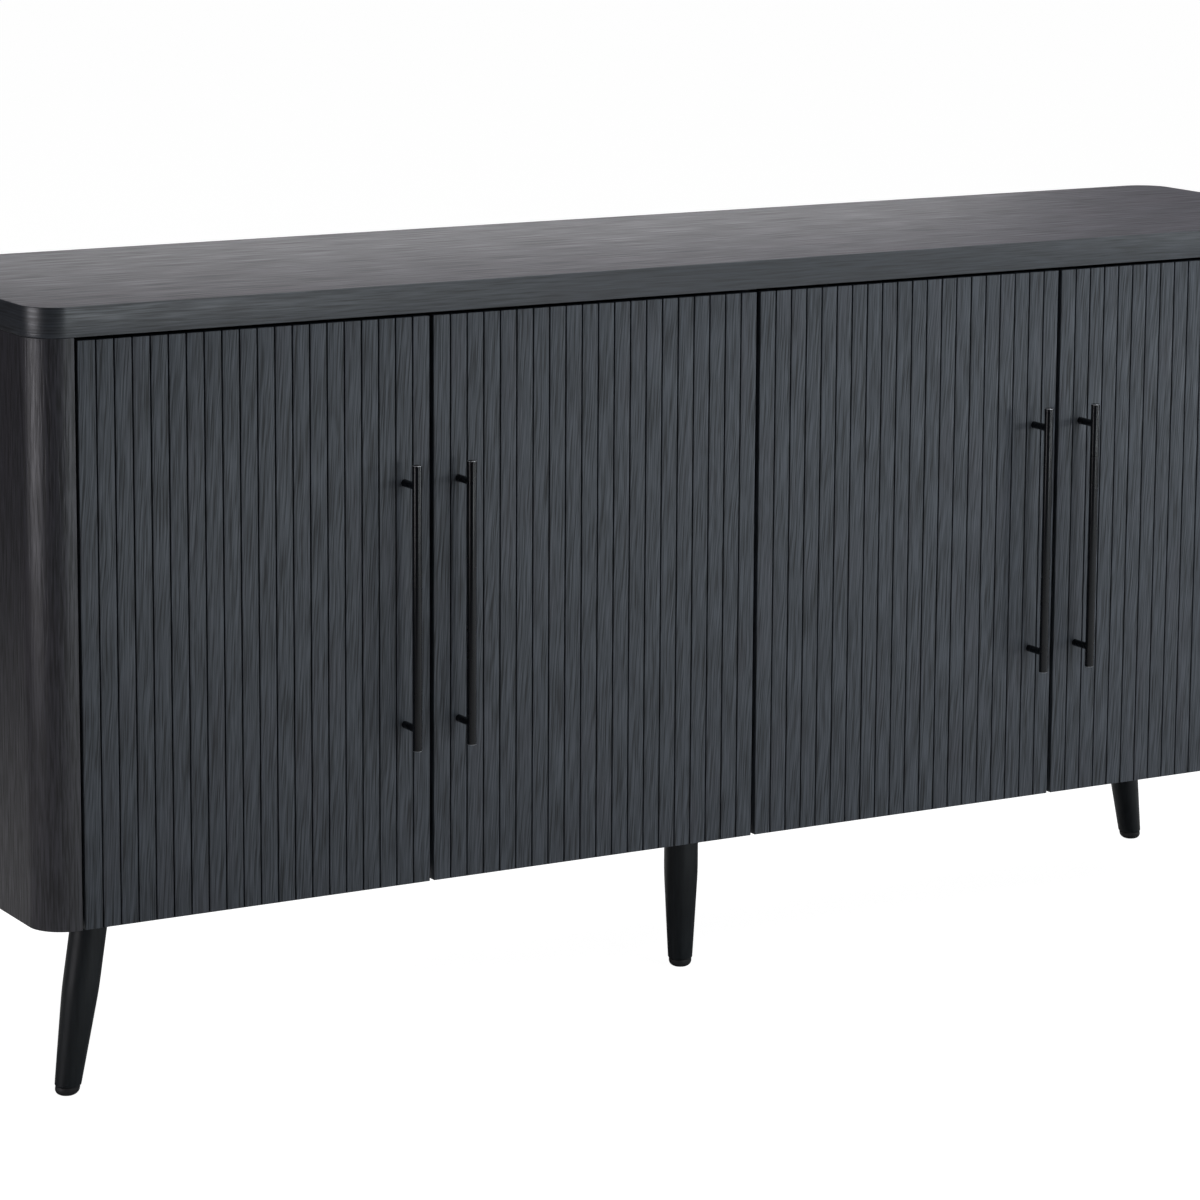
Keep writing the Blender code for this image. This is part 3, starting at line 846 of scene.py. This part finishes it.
def slatted_outline(low, high):
    """Door outline with eased grooves between its slats, and the slat that each point is on."""
    pitch = (high.x - low.x) / SLATS
    face, r = low.y, SLAT_ARRIS
    wall = GROOVE_FLOOR / 2
    crown = wall + GROOVE_SLOPE
    outline, zones = [], []
    for slat in range(SLATS):
        left = low.x + slat * pitch
        right = left + pitch
        if slat:
            points = [(left + wall, face + GROOVE_DEPTH)] + arc((left + crown + r, face + r), r, 180, 270, 4)
        else:
            points = arc((left + DOOR_ARRIS, face + DOOR_ARRIS), DOOR_ARRIS, 180, 270, 4)
        if slat < SLATS - 1:
            points += arc((right - crown - r, face + r), r, 270, 360, 4)
            points.append((right - wall, face + GROOVE_DEPTH))
        else:
            points += arc((right - DOOR_ARRIS, face + DOOR_ARRIS), DOOR_ARRIS, 270, 360, 4)
        outline += points
        zones += [slat] * len(points)
    back = arc((high.x - DOOR_ARRIS, high.y - DOOR_ARRIS), DOOR_ARRIS, 0, 90, 3)
    back += arc((low.x + DOOR_ARRIS, high.y - DOOR_ARRIS), DOOR_ARRIS, 90, 180, 3)
    return outline + back, zones + [0] * len(back)


def make_door(number, oak, foil, rubber, steel, powder, rim, screw):
    """Slatted door, bored for its hinge cups, with its bumper, pull and hinges."""
    node = f"door_{number}"
    low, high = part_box(node)
    outline, zones = slatted_outline(low, high)
    body = rounded_body(outline, low.z, high.z, DOOR_END_ARRIS, zones=zones, steps=2)
    door = to_object(node + "_slatted", body, oak["door"], foil)
    bore_radius = CUP_RADIUS + BORE_GAP
    bores = []
    for level in ("lower", "upper"):
        centre = middle(f"hinge_cup_{number}_{level}")
        bore = turned([(bore_radius, -CUP_DEPTH - BORE_FLOOR_GAP), (bore_radius, CUP_DEPTH)], 40)
        bores.append(turn_to(bore, Matrix.Translation((centre.x, high.y, centre.z)) @ spin("X", -90)))
    carve(door, ("DIFFERENCE", merged(bores)))
    behind = low.y + GROOVE_DEPTH + 0.001
    give_second(door, lambda face: face.center.y > behind and face.normal.y > 0.5)
    stand_for(door, node)
    make_bumper(f"door_bumper_{number}", rubber)
    make_pull(number, high.y, powder, rim, steel, screw)
    for level in ("lower", "upper"):
        make_hinge_cup(f"hinge_cup_{number}_{level}", high.y, steel, screw)
        make_hinge_arm(number, level, steel, screw)


def make_bumper(node, rubber):
    """Small soft dome on a door's back."""
    low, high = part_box(node)
    centre = (low + high) / 2
    radius, height = (high.x - low.x) / 2, high.y - low.y
    flat = radius * BUMPER_FLAT
    profile = [(radius, 0.0), (radius, height - BUMPER_DOME)]
    for a in quarter_turn(5)[1:]:
        profile.append((flat + (radius - flat) * math.cos(a), height - BUMPER_DOME * (1 - math.sin(a))))
    dome = turn_to(turned(profile, 32), Matrix.Translation((centre.x, low.y, centre.z)) @ spin("X", -90))
    stand_for(to_object(node + "_domed", dome, rubber), node)


def make_pull(number, door_back, powder, rim, steel, screw):
    """Round bar with eased ends on two posts, and the screws that hold it from inside the door."""
    node = f"pull_{number}"
    low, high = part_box(node)
    radius = (high.x - low.x) / 2
    axis = Vector(((low.x + high.x) / 2, low.y + radius, (low.z + high.z) / 2))
    half = (high.z - low.z) / 2
    head = []
    for a in quarter_turn(3):
        head.append((radius - BAR_CHAMFER * (1 - math.cos(a)), half - BAR_CHAMFER * (1 - math.sin(a))))
    profile = [(r, -z) for r, z in reversed(head)] + head
    bar = turn_to(turned(profile, 40), Matrix.Translation(axis))
    posts = []
    places = []
    for z in (-POST_CENTRES / 2, POST_CENTRES / 2):
        post = turned([(POST_RADIUS, 0.0), (POST_RADIUS, high.y - axis.y)], 32)
        posts.append(turn_to(post, Matrix.Translation(axis + Vector((0, 0, z))) @ spin("X", -90)))
        places.append(Matrix.Translation((axis.x, door_back, axis.z + z)) @ spin("X", -90))
    pull = carve(to_object(node + "_bar", bar, powder, rim), ("UNION", merged(posts)))
    shaft = half - BAR_CHAMFER
    # The eased end rims take the second material, the pale painted highlight.
    give_second(pull, lambda face: abs(face.center.z - axis.z) > shaft and abs(face.normal.z) < 0.95)
    stand_for(pull, node)
    add_screws(node + "_screws", screw, places, node, steel)


def wing_outline():
    """Flange of a hinge cup: a disc with two rounded wings for its screws."""
    open_angle = math.degrees(math.asin(WING_HALF_WIDTH / FLANGE_RADIUS))
    outline = arc((0, 0), FLANGE_RADIUS, open_angle - 90, 90 - open_angle, 16)
    outline += arc((0, WING_CENTRE), WING_HALF_WIDTH, 0, 180, 12)
    outline += arc((0, 0), FLANGE_RADIUS, 90 + open_angle, 270 - open_angle, 16)
    return outline + arc((0, -WING_CENTRE), WING_HALF_WIDTH, 180, 360, 12)


def make_hinge_cup(node, door_back, steel, screw):
    """Pressed cup with a winged flange, open towards the case, and its two screws."""
    centre = middle(node)
    place = Matrix.Translation((centre.x, door_back, centre.z)) @ spin("X", -90)
    top = FLANGE_LIFT + FLANGE_METAL
    flange = rounded_body(wing_outline(), FLANGE_LIFT, top, FLANGE_ARRIS)
    outer, foot = CUP_RADIUS - BORE_GAP, -CUP_DEPTH
    inner, floor = CUP_RADIUS - CUP_WALL, CUP_WALL - CUP_DEPTH
    chamfer, r = CUP_FOOT_CHAMFER, CUP_FLOOR_RADIUS
    barrel = [(outer - chamfer, foot), (outer, foot + chamfer), (outer, top - FLANGE_METAL / 2)]
    hollow = [(inner - r, floor), (inner - 0.3 * r, floor + 0.3 * r), (inner, floor + r), (inner, CUP_DEPTH)]
    cup = to_object(node + "_winged", flange, steel)
    carve(cup, ("UNION", turned(barrel, 48)), ("DIFFERENCE", turned(hollow, 48)))
    cup.data.transform(place)
    stand_for(cup, node)
    seat = top - FLANGE_SCREW_SINK
    places = [place @ Matrix.Translation((0, z, seat)) for z in (-WING_CENTRE, WING_CENTRE)]
    add_screws(node + "_screws", screw, places, node, steel)


def ribbon(path, width):
    """Outline of a strip of even width that follows a path of plan points."""
    left, right = [], []
    for i, (x, y) in enumerate(path):
        before, after = path[max(i - 1, 0)], path[min(i + 1, len(path) - 1)]
        run, rise = after[0] - before[0], after[1] - before[1]
        scale = width / 2 / math.hypot(run, rise)
        left.append((x - rise * scale, y + run * scale))
        right.append((x + rise * scale, y - run * scale))
    return left + right[::-1]


def anticlockwise(outline):
    """The outline, turned round if it runs clockwise."""
    area = sum(x * outline[i - 1][1] - y * outline[i - 1][0] for i, (x, y) in enumerate(outline))
    return outline if area < 0 else outline[::-1]


def hinge_arm_body(name, way, base, line, steel):
    """Cranked arm joined to its block and base plate; base and line are distances from the axis."""
    path = [(line, ARM_RUN[1]), (line, ARM_RUN[0]), *ARM_CRANK]
    outline = anticlockwise([(way * u, v) for u, v in ribbon(path, ARM_METAL)])
    arm = to_object(name, rounded_body(outline, -ARM_WIDTH / 2, ARM_WIDTH / 2, ARM_ARRIS), steel)
    block_ends = sorted((way * base, way * line))
    block = round_rectangle(*block_ends, *BLOCK_RUN, BLOCK_CORNER_RADIUS, 2)
    plate_ends = sorted((way * base, way * (base + PLATE_METAL)))
    plate = round_rectangle(*plate_ends, *PLATE_RUN, ARM_ARRIS, 2)
    block_body = rounded_body(block, -BLOCK_WIDTH / 2, BLOCK_WIDTH / 2, ARM_ARRIS)
    plate_body = rounded_body(plate, -PLATE_HEIGHT / 2, PLATE_HEIGHT / 2, ARM_ARRIS)
    return carve(arm, ("UNION", block_body), ("UNION", plate_body))


def make_hinge_arm(number, level, steel, screw):
    """Hinge arm fixed to the case, with the screws of its base plate and of the arm itself."""
    node = f"hinge_arm_{number}_{level}"
    joint = next(j for j in frame["joints"] if j["name"] == f"door_{number}_hinge")
    way = 1 if number in LEFT_HUNG_DOORS else -1
    low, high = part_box(node)
    base = min(way * low.x, way * high.x) - way * joint["pos_m"][0]
    line = base + ARM_RISE
    origin = Vector((joint["pos_m"][0], joint["pos_m"][1], (low.z + high.z) / 2))
    arm = hinge_arm_body(node + "_pressed", way, base, line, steel)
    arm.data.transform(Matrix.Translation(origin))
    stand_for(arm, node)
    outward = spin("Y", 90 * way)
    plate_face = origin.x + way * (base + PLATE_METAL)
    arm_face = origin.x + way * (line + ARM_METAL / 2)
    plate_y = origin.y + sum(PLATE_RUN) / 2
    places = []
    for z in (-PLATE_SCREW_OFFSET, PLATE_SCREW_OFFSET):
        places.append(Matrix.Translation((plate_face, plate_y, origin.z + z)) @ outward)
    for y in (ARM_RUN[0] + ARM_SCREW_MARGIN, ARM_RUN[1] - ARM_SCREW_MARGIN):
        places.append(Matrix.Translation((arm_face, origin.y + y, origin.z)) @ outward)
    add_screws(node + "_screws", screw, places, node, steel)


# ---------------------------------------------------------------- stage


def make_floor():
    """Wide pale floor, which throws less light back on the left of the object than in front of it."""
    bm = bmesh.new()
    r = FLOOR_REACH
    bm.faces.new([bm.verts.new((x, y, 0.0)) for x, y in ((-r, -r), (r, -r), (r, r), (-r, r))])
    material = bpy.data.materials.new("pale_floor")
    material.use_nodes = True
    tree = material.node_tree
    tree.nodes.clear()
    seen = add(tree, "ShaderNodeBsdfDiffuse", {"Color": (FLOOR_SEEN, FLOOR_SEEN, FLOOR_SEEN, 1.0)})
    glow = add(tree, "ShaderNodeEmission", {"Color": (1.0, 1.0, 1.0, 1.0), "Strength": FLOOR_GLOW})
    pale = add(tree, "ShaderNodeAddShader", {0: seen.outputs[0], 1: glow.outputs[0]})
    place = add(tree, "ShaderNodeSeparateXYZ", {0: add(tree, "ShaderNodeNewGeometry").outputs["Position"]})
    albedo = spread(tree, place.outputs[0], *FLOOR_FADE, *FLOOR_THROWN)
    thrown = add(tree, "ShaderNodeBsdfDiffuse", {"Color": albedo})
    path = add(tree, "ShaderNodeLightPath")
    inputs = {0: path.outputs["Is Camera Ray"], 1: thrown.outputs[0], 2: pale.outputs[0]}
    mix = add(tree, "ShaderNodeMixShader", inputs)
    add(tree, "ShaderNodeOutputMaterial", {0: mix.outputs[0]})
    material.cycles.emission_sampling = "NONE"
    floor = to_object("floor", bm, material)


def make_world():
    """Plain surround: white to the camera, and nearly dark as a light."""
    world = bpy.data.worlds.new("studio")
    bpy.context.scene.world = world
    world.use_nodes = True
    tree = world.node_tree
    tree.nodes.clear()
    path = add(tree, "ShaderNodeLightPath")
    level = spread(tree, path.outputs["Is Camera Ray"], 0.0, 1.0, WORLD_THROWN, 1.0)
    background = add(tree, "ShaderNodeBackground", {"Color": (1.0, 1.0, 1.0, 1.0), "Strength": level})
    add(tree, "ShaderNodeOutputWorld", {0: background.outputs[0]})


def make_softbox(name, position, target, width, height, power, colour=(1.0, 1.0, 1.0)):
    """Soft rectangular light aimed at a point and hidden from the camera; power is in watts."""
    light = bpy.data.lights.new(name, "AREA")
    light.shape = "RECTANGLE"
    light.size = width
    light.size_y = height
    light.energy = power
    light.color = colour
    lamp = bpy.data.objects.new(name, light)
    lamp.location = position
    lamp.rotation_euler = (Vector(target) - Vector(position)).to_track_quat("-Z", "Y").to_euler()
    lamp.visible_camera = False
    bpy.context.scene.collection.objects.link(lamp)


def make_lights():
    """Low cool lights at the right and in front, a wash on the floor, and fills around the object."""
    make_softbox("key_right", (5.2, -4.2, 0.9), (0.3, -0.2, 0.4), 1.3, 1.0, 60, COOL_LIGHT)
    make_softbox("front", (1.2, -6.0, 0.6), (0.0, -0.2, 0.4), 1.5, 0.8, 48, COOL_LIGHT)
    make_softbox("wash", (1.6, -2.4, 2.2), (1.6, -2.4, 0.0), 2.2, 1.2, 55, COOL_LIGHT)
    make_softbox("overhead", (0.4, 0.4, 3.4), (0.3, 0.1, 0.8), 3.2, 2.0, 105)
    make_softbox("side_left", (-4.3, -0.1, 0.75), (-0.8, -0.2, 0.5), 2.0, 1.4, 46, ROSY_LIGHT)
    make_softbox("back", (2.1, 4.6, 1.7), (0.1, 0.2, 0.8), 2.8, 1.6, 21)


def make_camera():
    """Camera at the front left of the object, looking slightly down."""
    camera = bpy.data.objects.new("camera", bpy.data.cameras.new("camera"))
    camera.data.lens = CAMERA_LENS
    camera.data.sensor_width = 36.0
    camera.data.shift_y = CAMERA_SHIFT
    camera.data.clip_end = 500.0
    turn = spin("Z", -CAMERA_YAW) @ spin("X", 90 + CAMERA_PITCH) @ spin("Z", CAMERA_ROLL)
    camera.matrix_world = Matrix.Translation(CAMERA_POSITION) @ turn
    bpy.context.scene.collection.objects.link(camera)
    bpy.context.scene.camera = camera


def make_stage():
    """Floor, surround, lights and camera."""
    make_floor()
    make_world()
    make_lights()
    make_camera()
    bpy.context.scene.view_settings.view_transform = "Standard"


def make_object():
    """All materials, and every piece of the sideboard."""
    oak = make_oaks()
    foil = make_board_foil()
    fibreboard = make_fibreboard()
    lacquer = make_leg_lacquer()
    powder = make_powder_coat()
    # Pale metal that paints the highlight on the bars' end rims.
    rim = make_painted_rim_highlight()
    steel = make_plated_steel()
    plastic = make_moulded("glide_plastic", (0.010, 0.010, 0.011), (0.017, 0.017, 0.018), 0.42, 0.55)
    rubber = make_moulded("bumper_rubber", (0.035, 0.035, 0.036), (0.060, 0.060, 0.060), 0.50, 0.62)
    small_screw = screw_mesh(*SMALL_SCREW)
    pan_screw = screw_mesh(*PAN_SCREW)
    make_case(oak, foil, fibreboard, steel)
    for corner in ("front_left", "front_right", "rear_left", "rear_right", "centre"):
        make_leg(corner, lacquer, plastic, steel, pan_screw)
    for number in (1, 2, 3, 4):
        make_door(number, oak, foil, rubber, steel, powder, rim, small_screw)


make_object()
make_stage()
